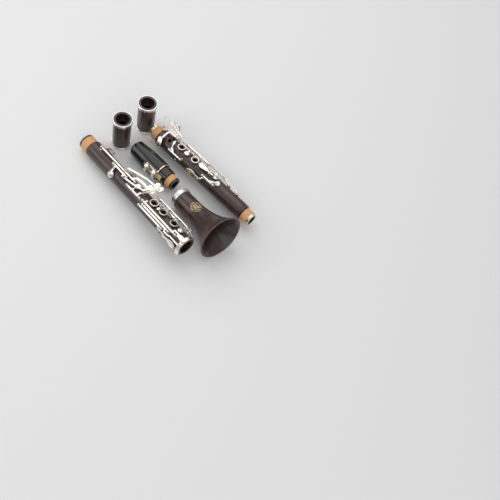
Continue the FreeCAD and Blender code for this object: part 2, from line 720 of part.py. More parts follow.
def screw_places():
    middle = MOUTH_START + size.ligature_start + size.ligature_length / 2
    return [middle - size.screw_spacing / 2, middle + size.screw_spacing / 2]




def make_ligature():
    """A metal band with an open seam over the reed, two lugs a side, and two thumb screws."""
    inner_out = size.mouthpiece_radius + 0.02
    band = band_section(inner_out + size.ligature_wall).cut(band_section(inner_out))
    start = MOUTH_START + size.ligature_start
    seam = Part.makeBox(size.ligature_length + 2, size.lug_gap, 8,
                        Vec(start - 1, -size.lug_gap / 2, -inner_out - 6))
    pieces = [band.cut(seam)]
    lug_top = -inner_out - 0.1
    screw_up = lug_top - size.lug_depth + 2.0
    screws = []
    for place in screw_places():
        for side in (-1, 1):
            corner = Vec(place - 3, side * size.lug_gap / 2, lug_top - size.lug_depth)
            if side < 0:
                corner.y -= size.lug_width
            lug = Part.makeBox(6, size.lug_width, size.lug_depth, corner)
            hole = Part.makeCylinder(size.screw_radius + size.running_gap, 20,
                                     Vec(place, -10, screw_up), Y_AXIS)
            pieces.append(lug.cut(hole))
        reach = size.lug_gap / 2 + size.lug_width
        shank = Part.makeCylinder(size.screw_radius, 2 * reach + 2.0 + size.side_gap,
                                  Vec(place, reach + 1.5, screw_up), -Y_AXIS)
        collar_at = -reach - size.side_gap
        collar = Part.makeCylinder(size.screw_radius + 1, 1.6, Vec(place, collar_at, screw_up), -Y_AXIS)
        head = Part.makeCylinder(size.screw_head_radius, size.screw_head_length - 4.2,
                                 Vec(place, collar_at - 1.6, screw_up), -Y_AXIS)
        screws.append(fuse([shank, collar, head]))
    keep_shape("ligature", fuse(pieces), "mouthpiece")
    keep_shape("ligature_screw_tip", screws[0], "mouthpiece")
    keep_shape("ligature_screw_heel", screws[1], "mouthpiece")


def cap_outline(out_change, start):
    """Half outline of the cap, moved in by out_change."""
    out = size.cap_radius - out_change
    tip = size.cap_tip_radius - out_change
    curve = size.cap_length * 0.45
    return [Vec(start, 0, 0), Vec(start, 0, tip - 3), Vec(start + 3, 0, tip),
            Vec(start + curve, 0, out), Vec(size.cap_length, 0, out), Vec(size.cap_length, 0, 0)]


def make_cap():
    outer = Part.Face(Part.makePolygon(cap_outline(0, 0) + [Vec(0, 0, 0)]))
    inner_points = cap_outline(size.cap_wall, size.cap_wall)
    inner = Part.Face(Part.makePolygon(inner_points + inner_points[:1]))
    solid = outer.revolve(Vec(0, 0, 0), X_AXIS, 360)
    hollow = inner.revolve(Vec(0, 0, 0), X_AXIS, 360)
    slot = Part.makeBox(size.cap_slot_length + 1, size.cap_slot_width, 10,
                        Vec(size.cap_length - size.cap_slot_length, -size.cap_slot_width / 2,
                            -size.cap_radius - 4))
    vent = Part.makeCylinder(size.cap_vent_radius, 5, Vec(-1, 0, 0), X_AXIS)
    rim_seat = Part.makeCylinder(size.cap_radius + 1, size.rim_length,
                                 Vec(size.cap_length - size.rim_length, 0, 0), X_AXIS)
    body = solid.cut(hollow).cut(slot).cut(vent)
    rim = Part.makeCylinder(size.cap_radius, size.rim_length,
                            Vec(size.cap_length - size.rim_length, 0, 0), X_AXIS)
    rim = rim.cut(Part.makeCylinder(size.cap_radius - size.cap_wall, size.rim_length,
                                    Vec(size.cap_length - size.rim_length, 0, 0), X_AXIS)).cut(slot)
    keep_shape("mouthpiece_cap", body.cut(rim_seat).removeSplitter(), "mouthpiece")
    keep_shape("cap_rim", rim, "mouthpiece")


# ---------------------------------------------------------------------------- key building
JOINT_OF = {name: "lower" for name in LOWER_PAD_KEYS}
JOINT_OF.update({name: "upper" for name in UPPER_PAD_KEYS})
JOINT_OF.update({"left_f_sharp_lever": "lower", "left_f_lever": "lower", "left_e_lever": "lower",
                 "register_key": "upper"})
WOOD_RADIUS = {"lower": size.lower_radius, "upper": size.upper_radius}
fittings = {"lower": {"posts": [], "rods": [], "springs": []},
            "upper": {"posts": [], "rods": [], "springs": []}}


def over_wood(name, height):
    return WOOD_RADIUS[JOINT_OF[name]] + height


def rod_line(name):
    """Turn and distance out of a key's rod, and where its tube starts and ends."""
    out = over_wood(name, cell(name + "_rod_height"))
    return cell(name + "_rod_turn"), out, cell(name + "_rod_start"), cell(name + "_rod_end")


def key_tube(name):
    turn, out, start, end = rod_line(name)
    return tube_shape(start, end, out, turn, size.tube_radius, size.rod_radius + size.running_gap)


def clear_rod(name, shape):
    """Open the rod's own hole through the arms that were fused to the tube."""
    turn, out, start, end = rod_line(name)
    hole = rod_shape(start - 5, end + 5, out, turn, size.rod_radius + size.running_gap)
    return shape.cut(hole)


def pad_floor(name):
    """Distance out of the pad's face when the key is shut."""
    return over_wood(name, size.seat_height + size.shut_gap)


def open_angle(name):
    """Turn about +X that lifts a key which stands open by its stand-off."""
    turn, out, start, end = rod_line(name)
    pad_turn = cell(name + "_pad_turn")
    reach = polar(0, pad_floor(name), pad_turn).sub(polar(0, out, turn))
    rise = X_AXIS.cross(reach).dot(outward(pad_turn))
    return math.degrees(cell(name + "_stand_off") / rise)


def raised(name, shape):
    """The key as it stands at rest: keys are drawn shut, then turned open on their rod."""
    turn, out, start, end = rod_line(name)
    lifted = shape.copy()
    lifted.rotate(polar(start, out, turn), X_AXIS, open_angle(name))
    return lifted


def cup_floor(name):
    return pad_floor(name) + size.pad_height


def pad(name):
    return disc(cell(name + "_pad_along"), pad_floor(name), cell(name + "_pad_turn"),
                cell(name + "_cup") - size.pad_inset, size.pad_height)


def cup(name):
    """A pad cup with a low domed top."""
    along = cell(name + "_pad_along")
    turn = cell(name + "_pad_turn")
    radius = cell(name + "_cup")
    low = disc(along, cup_floor(name), turn, radius, size.cup_height * 0.6)
    cone = Part.makeCone(radius, radius * 0.55, size.cup_height * 0.5,
                         polar(along, cup_floor(name) + size.cup_height * 0.6, turn), outward(turn))
    return low.fuse(cone)


def cup_top(name):
    """A point just inside the top of the cup, where its arm ends."""
    return polar(cell(name + "_pad_along"), cup_floor(name) + size.cup_height * 0.8,
                 cell(name + "_pad_turn"))


def cup_arm(name, along, width):
    """The arm from the tube to the cup, bent over the wood where it reaches far round."""
    turn, out, start, end = rod_line(name)
    middle = (turn + cell(name + "_pad_turn")) / 2
    points = [polar(along, out, turn), cup_top(name)]
    if abs(cell(name + "_pad_turn") - turn) > 40:
        knee = polar((along + cell(name + "_pad_along")) / 2, over_wood(name, 4.4), middle)
        points.insert(1, knee)
    arm = fuse(bars(points, width, size.arm_height, outward(middle)))
    under_cup = disc(cell(name + "_pad_along"), cup_floor(name) - size.pad_height * 3,
                     cell(name + "_pad_turn"), cell(name + "_cup"), size.pad_height * 3)
    return arm.cut(under_cup)


def ring(along, turn, out, hole_radius):
    outer = disc(along, out, turn, hole_radius + size.ring_key_wall, size.ring_key_height)
    return outer.cut(disc(along, out - 1, turn, hole_radius, size.ring_key_height + 2))


def finger_ring(name, hole_name):
    """A ring round a chimney, and the arm that carries it from the tube."""
    turn, out, start, end = rod_line(name)
    along = cell(hole_name + "_along")
    ring_turn = cell(hole_name + "_turn")
    hole_radius = cell(hole_name + "_hole") + size.chimney_wall + size.ring_gap
    ring_out = over_wood(name, size.chimney_height - size.ring_key_height + 0.2)
    edge_side = hole_radius + size.ring_key_wall / 2
    toward = 1 if turn > ring_turn else -1
    edge = polar(along, ring_out + size.ring_key_height / 2, ring_turn)
    edge = edge.add(sideways(ring_turn).multiply(toward * edge_side))
    arm = bar(edge, polar(along, out, turn), size.arm_width, size.arm_height * 0.8,
              outward((turn + ring_turn) / 2))
    hole = disc(along, over_wood(name, 0), ring_turn, hole_radius, 12)
    return [ring(along, ring_turn, ring_out, hole_radius), arm.cut(hole)]


def add_post(joint, along, turn, out):
    """A turned post with a ball that holds a rod's end."""
    wood = WOOD_RADIUS[joint]
    stem = disc(along, wood - 1.5, turn, size.post_radius, out - wood + 1.5)
    foot = disc(along, wood - 1.5, turn, size.post_radius + 0.7, 2.3)
    ball = Part.makeSphere(size.ball_radius, polar(along, out, turn), X_AXIS)
    hole = rod_shape(along - 5, along + 5, out, turn, size.rod_radius)
    fittings[joint]["posts"].append(fuse([stem, foot, ball]).cut(hole))


def rod_with_posts(names):
    """One steel rod through the tubes of the named keys, and a post at each end."""
    joint = JOINT_OF[names[0]]
    turn, out, start = rod_line(names[0])[:3]
    end = rod_line(names[-1])[3]
    reach = size.side_gap + size.ball_radius
    add_post(joint, start - reach, turn, out)
    add_post(joint, end + reach, turn, out)
    rod = rod_shape(start - reach - size.ball_radius, end + reach + size.ball_radius, out, turn,
                    size.rod_radius)
    fittings[joint]["rods"].append(rod)


def add_spring(name, along, direction, side):
    """A needle spring that leans from a post's stem towards the key it turns."""
    joint = JOINT_OF[name]
    turn, out, start, end = rod_line(name)
    root = polar(along, out - size.spring_drop, turn)
    lean = Vec(direction * size.spring_length, 0, 0).add(sideways(turn).multiply(side))
    fittings[joint]["springs"].append(
        Part.makeCylinder(size.spring_radius, lean.Length, root, lean))


# ------------------------------------------------------------------------------ lower keys


def pinky_touch(row, column, sink):
    """One of the four right little-finger touches, drawn `sink` below where it stands at rest."""
    along = size.pinky_low_row + row * (size.pinky_width + size.pinky_gap) + column * 3.2
    right = size.pinky_out + column * (size.pinky_depth + size.pinky_gap)
    up = size.pinky_up - column * 1.2 - sink
    plate = Part.makeBox(size.pinky_width, size.pinky_depth, size.touch_height,
                         Vec(along - size.pinky_width / 2, right, up))
    corners = [edge for edge in plate.Edges if abs(edge.tangentAt(0).z) > 0.9]
    return plate.makeFillet(size.pinky_corner, corners), Vec(along, right, up + size.touch_height / 2)


def flat_bars(points, width, height):
    return bars([Vec(*point) for point in points], width, height, Z_AXIS)


def make_lower_keys():
    make_e_key()
    make_f_key()
    make_a_flat_key()
    make_f_sharp_key()
    make_lower_ring_key()
    make_b_natural_key()
    make_left_levers()
    for name in LOWER_PAD_KEYS[:5]:
        keep_shape(name + "_pad", raised(name, pad(name)), "lower")


def make_e_key():
    """Long tube, big cup on the right, and a lever past the F key to the outer low touch."""
    name = "e_key"
    touch, root = pinky_touch(0, 1, 2.2)
    turn, out, start, end = rod_line(name)
    rod_at = polar(0, out, turn)
    pieces = [key_tube(name), cup(name), cup_arm(name, cell(name + "_pad_along"), 4.0), touch]
    pieces += flat_bars([(end - 3, rod_at.y, rod_at.z + 1.5), (end + 1, 10.0, size.lever_up + 1.6),
                         (end + 14, 14.5, size.lever_up + 0.6), (133.0, 21.2, size.lever_up - 1.6),
                         (root.x, root.y + 3, root.z)], 3.4, 1.7)
    keep_shape(name, raised(name, clear_rod(name, fuse(pieces))), "lower")


def make_f_key():
    """Short tube on the same rod, cup on the right, and a lever to the inner low touch."""
    name = "f_key"
    touch, root = pinky_touch(0, 0, 1.2)
    turn, out, start, end = rod_line(name)
    rod_at = polar(0, out, turn)
    pieces = [key_tube(name), cup(name), cup_arm(name, cell(name + "_pad_along"), 3.6), touch]
    pieces += flat_bars([(end - 3.5, rod_at.y, rod_at.z + 0.6), (end + 1, 9.6, size.lever_up - 1.6),
                         (134.0, 12.2, size.lever_up - 2.2), (root.x, root.y + 2.5, root.z)], 3.8, 1.6)
    keep_shape(name, raised(name, clear_rod(name, fuse(pieces))), "lower")


def make_a_flat_key():
    """Cup on the left, and a lever that crosses the front to the outer upper touch."""
    name = "a_flat_key"
    touch, root = pinky_touch(1, 1, 0)
    turn, out, start, end = rod_line(name)
    rod_at = polar(0, out, turn)
    pieces = [key_tube(name), cup(name), cup_arm(name, start + 3.0, 3.4), touch]
    beside = polar(0, out, turn - 11.5)
    pieces += flat_bars([(end - 4, rod_at.y, rod_at.z), (end - 3, beside.y, beside.z + 0.6),
                         (end + 6, beside.y, size.lever_up + 0.6), (126.0, -3.6, size.lever_up + 1.2),
                         (148.0, 2.0, size.lever_up + 2.4), (root.x - 1, root.y + 1.5, size.lever_up + 2.2),
                         (root.x, root.y + 4.6, root.z)], 2.8, 1.6)
    keep_shape(name, clear_rod(name, fuse(pieces)), "lower")


def make_f_sharp_key():
    """Cup on the front under the levers, and an arm across to the inner upper touch."""
    name = "f_sharp_key"
    touch, root = pinky_touch(1, 0, 2.6)
    turn, out, start, end = rod_line(name)
    rod_at = polar(0, out, turn)
    pieces = [key_tube(name), cup(name), cup_arm(name, cell(name + "_pad_along"), 3.0), touch]
    pieces += flat_bars([(end - 3.8, rod_at.y, rod_at.z), (end - 2.6, -3.0, rod_at.z + 0.6),
                         (root.x - 1, root.y + 2.5, root.z)], 3.0, 1.7)
    keep_shape(name, raised(name, clear_rod(name, fuse(pieces))), "lower")


def make_lower_ring_key():
    """Three finger rings, a small cup and the bridge foot, all on one tube."""
    name = "lower_ring_key"
    turn, out, start, end = rod_line(name)
    pieces = [key_tube(name), cup(name), cup_arm(name, cell(name + "_pad_along"), 3.0)]
    for hole in ("lower_ring_3", "lower_ring_2", "lower_ring_1"):
        pieces += finger_ring(name, hole)
    hip = polar(end - 3, out, turn)
    shin = polar(end - 2, out - 0.4, turn - 14)
    knee = polar(end + 7, out - 1.0, 48.0)
    foot = polar(size.lower_length - 1, out - 2.6, 38.0)
    pieces += bars([hip, shin, knee, foot], 3.0, 1.6, outward(50.0))
    keep_shape(name, raised(name, clear_rod(name, fuse(pieces))), "lower")


def make_b_natural_key():
    """The sliver key: a crescent touch between two rings, and its small cup on the right."""
    name = "b_natural_key"
    turn, out, start, end = rod_line(name)
    low = out - 1.3
    crescent = leaf([(186.5, 14.4), (184.2, 8), (183.6, 1), (185.0, -4.5), (187.0, -4.0), (186.6, 1),
                     (187.0, 8), (189.3, 14.0)], low - 0.1, low + 1.5, 14.0)
    beside = turn + 13.0
    wrap = shell(186.3, 189.0, low, low + 1.4, 40.0, beside + 3)
    link = bars([polar(187.6, low + 0.7, beside), polar(start + 2, low + 0.7, beside),
                 polar(start + 2.5, out, turn)], 2.2, 1.4, outward(beside))
    arm = cup_arm(name, cell(name + "_pad_along"), 2.6)
    whole = clear_rod(name, fuse([key_tube(name), crescent, wrap, cup(name), arm] + link))
    keep_shape(name, Part.makeCompound([whole, pad(name)]), "lower")


def make_left_levers():
    """Three parallel levers for the left little finger, side by side on the front left."""
    # F sharp lever: half-moon touch on the right of its rod's end post
    name = "left_f_sharp_lever"
    turn, out, start, end = rod_line(name)
    tail = bars([polar(end - 3.5, out, turn), polar(end - 2.5, out + 0.2, turn + 11.5),
                 polar(end + 9, out + 0.9, turn + 11.5)], 2.4, 1.7, outward(turn + 8))
    moon = leaf([(243.0, -3.0), (250.0, -3.6), (257.6, -3.0), (259.0, 0.4), (254.0, 3.2), (247.0, 3.4),
                 (242.6, 0.4)], out + 0.1, out + 1.6, turn + 8)
    link = bar(polar(start + 3, out, turn), polar(start + 3, out - 0.6, turn + 15), 2.6, 1.7,
               outward(turn + 8))
    keep_shape(name, clear_rod(name, fuse([key_tube(name), moon, link] + tail)), "lower")
    # F lever: long middle lever that ends in a small oval beyond the other two
    name = "left_f_lever"
    turn, out, start, end = rod_line(name)
    tail = bars([polar(end - 3.6, out, turn), polar(end - 2.0, out + 0.2, turn - 11.6),
                 polar(end + 6, out + 0.5, turn - 11.6), polar(end + 12, out + 0.6, turn - 7.5),
                 polar(254.0, out + 0.8, turn - 7.5), polar(258.6, out + 0.8, turn - 24)],
                2.2, 1.6, outward(turn - 9))
    oval = leaf([(256.0, 2.0), (261.4, 2.4), (262.6, -3.5), (260.4, -9.0), (257.2, -9.0), (255.4, -3.5)],
                out - 0.4, out + 1.1, turn - 26)
    link = bar(polar(start + 3, out, turn), polar(start + 3, out - 4.2, turn), 2.4, 1.7, sideways(turn))
    keep_shape(name, clear_rod(name, fuse([key_tube(name), oval, link] + tail)), "lower")
    # E lever: teardrop touch on the left of its rod's end post
    name = "left_e_lever"
    turn, out, start, end = rod_line(name)
    tail = bars([polar(end - 3.5, out, turn), polar(end - 2.5, out + 0.1, turn - 11.5),
                 polar(end + 14, out + 0.6, turn - 11.5)], 2.4, 1.7, outward(turn - 8))
    drop = leaf([(223.0, 1.0), (238.0, 1.8), (248.0, 1.8), (251.4, -2.4), (248.4, -6.6), (240.6, -6.0),
                 (231.0, -2.8), (223.0, -1.4)], out, out + 1.5, turn - 11.5)
    link = bar(polar(start + 3, out, turn), polar(start + 3, out - 4.2, turn), 2.4, 1.7, sideways(turn))
    keep_shape(name, clear_rod(name, fuse([key_tube(name), drop, link] + tail)), "lower")


# ------------------------------------------------------------------------------ upper keys
def make_upper_keys():
    make_upper_ring_key()
    make_c_sharp_key()
    make_sliver_key()
    make_g_sharp_key()
    make_thumb_ring_key()
    make_a_key()
    make_register_key()
    for number in (1, 2, 3, 4):
        make_side_key("side_key_%d" % number)
    for name in ("upper_ring_key", "c_sharp_key"):
        keep_shape(name + "_pad", raised(name, pad(name)), "upper")


def make_upper_ring_key():
    """Two finger rings, a small cup and the bridge arm that leads on to the lower joint."""
    name = "upper_ring_key"
    turn, out, start, end = rod_line(name)
    pieces = [key_tube(name), cup(name), cup_arm(name, cell(name + "_pad_along"), 3.0)]
    for hole in ("upper_ring_2", "upper_ring_1"):
        pieces += finger_ring(name, hole)
    high = over_wood(name, 8.4)
    pieces += bars([polar(start + 6.2, out, turn), polar(start + 1.6, out + 0.4, turn - 11.5),
                    polar(24.0, high, 34.0), polar(14.0, over_wood(name, 7.0), 18.0)],
                   2.7, 1.6, outward(33.0))
    whole = raised(name, clear_rod(name, fuse(pieces)))
    keep_shape(name, whole, "upper")
    bumper = raised(name, disc(15.0, over_wood(name, 4.4), 20.0, 2.4, 3.0))
    keep_shape("bridge_cork", bumper.cut(whole).Solids[0], "upper")


def make_c_sharp_key():
    """A touch for the left little finger that reaches over the front to a cup on the right."""
    name = "c_sharp_key"
    turn, out, start, end = rod_line(name)
    sweep = shell(start, start + 3.0, out - 0.9, out + 0.8, -44.0, turn)
    drop = leaf([(25.6, 7.5), (29.0, 7.5), (33.4, 1.0), (34.4, -5.0), (30.2, -9.0), (25.6, -5.4),
                 (25.0, 1.0)], out - 1.0, out + 0.9, -50.0)
    pieces = [key_tube(name), sweep, drop, cup(name), cup_arm(name, cell(name + "_pad_along"), 2.8)]
    keep_shape(name, clear_rod(name, fuse(pieces)), "upper")


def make_sliver_key():
    """A long curved sliver over the front, on a rod at the left, and a cup low on the left."""
    name = "e_flat_sliver_key"
    turn, out, start, end = rod_line(name)
    low = over_wood(name, 3.4)
    sliver = leaf([(57.5, -13.6), (52.2, -9.0), (49.4, -3.0), (47.8, 3.0), (49.4, 3.6), (51.8, -2.0),
                   (55.2, -7.6), (59.6, -12.0)], low, low + 1.6, -8.0)
    link = bar(polar(58.6, low + 0.8, -46.0), polar(58.6, out, turn), 3.2, 1.8, outward(-48.0))
    pieces = [key_tube(name), sliver, link, cup(name), cup_arm(name, cell(name + "_pad_along"), 2.6)]
    whole = clear_rod(name, fuse(pieces))
    keep_shape(name, Part.makeCompound([whole, pad(name)]), "upper")


def make_g_sharp_key():
    """A leaf touch low on the left, its rod beside the throat keys, and a cup on the front."""
    name = "g_sharp_key"
    turn, out, start, end = rod_line(name)
    touch = leaf([(95.0, 0.0), (100.0, 3.4), (108.0, 4.2), (115.5, 2.4), (122.0, 1.4), (122.0, -1.2),
                  (114.0, -2.2), (106.0, -3.2), (99.0, -2.6)], out - 1.4, out + 0.2, -60.0)
    arm = bars([polar(119.0, out - 0.6, -59.0), polar(125.0, out + 0.6, -50.0),
                polar(start + 2.4, out + 0.4, turn)], 2.6, 1.7, outward(-46.0))
    reach = bar(polar(end - 6.0, out + 0.4, turn), cup_top(name), 2.8, size.arm_height, outward(-20.0))
    whole = clear_rod(name, fuse([key_tube(name), touch, reach, cup(name)] + arm))
    keep_shape(name, Part.makeCompound([whole, pad(name)]), "upper")


def make_thumb_ring_key():
    name = "thumb_ring_key"
    turn, out, start, end = rod_line(name)
    along = cell("thumb_ring_along")
    ring_out = over_wood(name, 0.9)
    hole_radius = cell("thumb_ring_hole") + size.tip_ring_wall + size.ring_gap
    band = ring(along, 180.0, ring_out, hole_radius)
    edge = polar(along, ring_out + size.ring_key_height / 2, 180.0)
    edge = edge.add(sideways(180.0).multiply(-hole_radius - size.ring_key_wall / 2))
    arm = bar(edge, polar(along, out, turn), size.arm_width, 1.5, outward(158.0))
    pieces = [key_tube(name), band, arm, cup(name), cup_arm(name, cell(name + "_pad_along"), 2.6)]
    whole = clear_rod(name, fuse(pieces))
    keep_shape(name, raised(name, Part.makeCompound([whole, pad(name)])), "upper")


def saw_line(name):
    along = cell(name + "_pivot_along")
    turn = cell(name + "_pivot_turn")
    return along, turn, over_wood(name, cell(name + "_lever_height"))


def add_saddle(name, lever_width):
    """Two cheeks on a foot, and the pin that the lever rocks on."""
    along, turn, out = saw_line(name)
    joint = JOINT_OF[name]
    wood = WOOD_RADIUS[joint]
    half = lever_width / 2 + size.side_gap
    foot_top = out - size.arm_height / 2 - 1.6
    pieces = []
    for side in (-1, 1):
        aside = sideways(turn).multiply(side * (half + size.cheek_thickness / 2))
        low = polar(along, wood - 2.0, turn).add(aside)
        high = polar(along, out + 1.4, turn).add(
            sideways(turn).multiply(side * (half + size.cheek_thickness / 2)))
        pieces.append(bar(low, high, 3.4, size.cheek_thickness, sideways(turn)))
    base_low = polar(along, wood - 2.0, turn)
    base_high = polar(along, max(foot_top, wood + 0.6), turn)
    pieces.append(bar(base_low, base_high, 3.4, 2 * half + size.cheek_thickness, sideways(turn)))
    pin_start = polar(along, out, turn).add(sideways(turn).multiply(-half - size.cheek_thickness - 0.3))
    pin_length = 2 * (half + size.cheek_thickness + 0.3)
    pin = Part.makeCylinder(size.pin_radius, pin_length, pin_start, sideways(turn))
    fittings[joint]["posts"].append(fuse(pieces).cut(pin))
    fittings[joint]["rods"].append(pin)


def clear_pin(name, shape):
    along, turn, out = saw_line(name)
    start = polar(along, out, turn).add(sideways(turn).multiply(-10))
    hole = Part.makeCylinder(size.pin_radius + size.running_gap, 20, start, sideways(turn))
    return shape.cut(hole)




def make_side_key(name):
    """A trill key: fan-shaped touch beside the lower end, long lever, cup beyond its saddle."""
    along, turn, out = saw_line(name)
    tip = Vec(cell(name + "_tip_along"), cell(name + "_tip_right"), cell(name + "_tip_up"))
    bend = polar(min(52.0, along - 6.0), out, turn)
    up = outward(turn)
    front = bar(bend, tip, size.side_lever_width, size.arm_height * 0.8, up)
    plate_start = bend.add(tip.sub(bend).multiply(0.6))
    plate = bar(plate_start, tip, size.side_plate_width, size.touch_height, up)
    knob = Part.makeCylinder(size.side_knob_radius, size.touch_height + 0.3,
                             tip.sub(Vec(up).multiply(size.touch_height / 2)), up)
    pivot = polar(along, out, turn)
    past = polar(along + 5, out, turn)
    back = bars([bend, past, cup_top(name)], size.side_lever_width, size.arm_height, up)
    boss_start = pivot.sub(sideways(turn).multiply(size.side_lever_width / 2))
    boss = Part.makeCylinder(1.7, size.side_lever_width, boss_start,
                             sideways(turn))
    whole = fuse([front, plate, knob, boss, cup(name)] + back)
    keep_shape(name, Part.makeCompound([clear_pin(name, whole), pad(name)]), "upper")
    add_saddle(name, size.side_lever_width)


def make_a_key():
    """The throat A key: a domed drop that the first finger rolls on to, and a cup past its pin."""
    name = "a_key"
    along, turn, out = saw_line(name)
    drop = leaf([(105.4, 0.0), (108.0, 4.2), (114.0, 5.2), (120.0, 3.4), (124.6, 1.6), (124.6, -1.6),
                 (120.0, -3.2), (114.0, -4.6), (108.0, -3.8)], out - 0.9, out + 1.1, turn)
    up = outward(turn)
    back = bars([polar(121.0, out, turn), polar(along + 5, out, turn), cup_top(name)], 2.8,
                size.arm_height, up)
    boss_start = polar(along, out, turn).sub(sideways(turn).multiply(1.4))
    boss = Part.makeCylinder(1.7, 2.8, boss_start, sideways(turn))
    whole = clear_pin(name, fuse([drop, boss, cup(name)] + back))
    keep_shape(name, Part.makeCompound([whole, pad(name)]), "upper")
    add_saddle(name, 2.8)


def make_register_key():
    name = "register_key"
    along, turn, out = saw_line(name)
    up = outward(turn)
    touch = leaf([(108.4, -3.0), (108.4, 3.0), (113.0, 4.4), (118.0, 2.6), (122.0, 1.4), (122.0, -1.4),
                  (118.0, -2.6), (113.0, -4.4)], out - 0.8, out + 0.8, turn)
    back = bars([polar(119.0, out, turn), polar(along, out, turn), cup_top(name)], 3.0, size.arm_height, up)
    boss_start = polar(along, out, turn).sub(sideways(turn).multiply(1.5))
    boss = Part.makeCylinder(1.7, 3.0, boss_start, sideways(turn))
    whole = clear_pin(name, fuse([touch, boss, cup(name)] + back))
    keep_shape(name, Part.makeCompound([whole, pad(name)]), "upper")
    add_saddle(name, 3.0)


# -------------------------------------------------------------------------------- fittings
def make_fittings():
    for names in (["e_key", "f_key"], ["a_flat_key"], ["f_sharp_key"], ["lower_ring_key"],
                  ["b_natural_key"], ["left_f_sharp_lever"], ["left_f_lever"], ["left_e_lever"],
                  ["upper_ring_key"], ["c_sharp_key"], ["e_flat_sliver_key"], ["g_sharp_key"],
                  ["thumb_ring_key"]):
        rod_with_posts(names)
    for name, at_start in (("e_key", True), ("lower_ring_key", True), ("f_sharp_key", False),
                           ("left_e_lever", False), ("upper_ring_key", False),
                           ("e_flat_sliver_key", False)):
        turn, out, start, end = rod_line(name)
        reach = size.side_gap + size.ball_radius
        if at_start:
            add_spring(name, start - reach, 1, 0.6)
        else:
            add_spring(name, end + reach, -1, 0.6)
    for joint in ("lower", "upper"):
        wood = nodes[joint + "_joint"].Tip.Shape
        posts = Part.makeCompound(fittings[joint]["posts"])
        springs = Part.makeCompound(fittings[joint]["springs"]).cut(posts)
        keep_shape(joint + "_posts", posts.cut(wood), joint)
        keep_shape(joint + "_rods", Part.makeCompound(fittings[joint]["rods"]), joint)
        keep_shape(joint + "_springs", springs, joint)


def make_thumb_rest():
    """A curved plate on the back of the lower joint with a hook for the thumb."""
    wood = size.lower_radius
    place = size.rest_place
    half = size.rest_plate_length / 2
    turn = 180.0
    plate = shell(place - half, place + half, wood, wood + size.rest_plate_wall,
                  turn - size.rest_plate_angle / 2, turn + size.rest_plate_angle / 2)
    root = polar(place, wood + 0.3, turn)
    reach = size.rest_plate_wall + size.rest_hook_reach - 0.6
    tip = polar(place, wood + reach, turn)
    hook = bar(root, tip, size.rest_hook_width, size.rest_hook_thickness, X_AXIS)
    pad_piece = Part.makeCylinder(size.rest_hook_width / 2, size.rest_hook_thickness,
                                  tip.sub(Vec(size.rest_hook_thickness / 2, 0, 0)), X_AXIS)
    wide = size.rest_hook_width * 2
    trimmed = hook.fuse(pad_piece).common(
        Part.makeBox(wide, wide, REST_OUT, Vec(place - wide / 2, -wide / 2, -REST_OUT)))
    holes = []
    screws = []
    for side in (-1, 1):
        along = place + side * size.rest_screw_spacing / 2
        holes.append(disc(along, wood - 1, turn, size.rest_screw_radius * 0.6, 6))
        head = disc(along, wood + size.rest_plate_wall + 0.05, turn, size.rest_screw_radius, 1.1)
        shank = disc(along, wood, turn, size.rest_screw_radius * 0.6, size.rest_plate_wall + 0.2)
        screws.append(head.fuse(shank))
    whole = fuse([plate, trimmed]).cut(Part.makeCylinder(wood, 60, Vec(place - 30, 0, 0), X_AXIS))
    keep_shape("thumb_rest", whole.cut(Part.makeCompound(holes)), "lower")
    keep_shape("thumb_rest_screws", Part.makeCompound(screws), "lower")


def settle():
    """Move the whole layout so that the origin is under its middle, on the table."""
    box = FreeCAD.BoundBox()
    for holder in nodes.values():
        box.add(holder.Shape.BoundBox)
    shift = Vec(-box.Center.x, -box.Center.y, -box.ZMin)
    for holder in nodes.values():
        holder.Placement = FreeCAD.Placement(shift, FreeCAD.Rotation()).multiply(holder.Placement)
    return shift


def check_objects():
    doc.recompute()
    for item in doc.Objects:
        if "Invalid" in item.State or "Error" in item.State:
            raise RuntimeError("%s did not compute" % item.Label)
    broken = []
    for label, holder in nodes.items():
        shape = holder.Shape
        if shape.isNull() or not shape.isValid() or not shape.Solids:
            broken.append(label)
    if broken:
        raise RuntimeError("no valid solid: " + ", ".join(broken))


def write_nodes():
    os.makedirs("parts", exist_ok=True)
    for label, holder in nodes.items():
        holder.Shape.exportStep("parts/%s.step" % label)


make_lower_wood()
make_upper_wood()
make_tubes()
make_barrel("barrel_a")
make_barrel("barrel_b")
make_bell()
make_mouthpiece()
make_reed()
make_ligature()
make_cap()
make_lower_keys()
make_upper_keys()
make_fittings()
make_thumb_rest()
doc.recompute()
layout_shift = settle()
check_objects()
write_nodes()
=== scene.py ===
"""Looks of the clarinet that lies taken apart on a pale table."""
import json
import math

import bmesh
import bpy
from mathutils import Matrix, Vector
from mathutils.bvhtree import BVHTree


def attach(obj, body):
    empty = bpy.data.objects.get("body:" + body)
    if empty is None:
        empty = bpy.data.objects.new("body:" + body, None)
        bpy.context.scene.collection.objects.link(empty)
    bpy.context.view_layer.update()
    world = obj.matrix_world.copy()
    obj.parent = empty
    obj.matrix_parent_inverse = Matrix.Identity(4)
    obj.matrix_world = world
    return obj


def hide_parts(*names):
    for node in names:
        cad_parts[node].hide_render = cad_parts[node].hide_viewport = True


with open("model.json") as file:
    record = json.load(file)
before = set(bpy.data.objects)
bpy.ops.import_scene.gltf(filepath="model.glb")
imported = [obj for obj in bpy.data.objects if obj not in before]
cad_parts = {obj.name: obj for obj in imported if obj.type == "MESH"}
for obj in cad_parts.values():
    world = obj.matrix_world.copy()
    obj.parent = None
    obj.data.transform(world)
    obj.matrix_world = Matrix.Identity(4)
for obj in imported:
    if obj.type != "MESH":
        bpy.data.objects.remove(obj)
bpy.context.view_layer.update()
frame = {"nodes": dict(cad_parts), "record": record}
nodes = frame["nodes"]
record = frame["record"]
slots = {part["node"]: part["material_slot"] for part in record["subparts"]}
body_of = {node: body for body, held in record["behaviour"]["bodies"].items() for node in held}
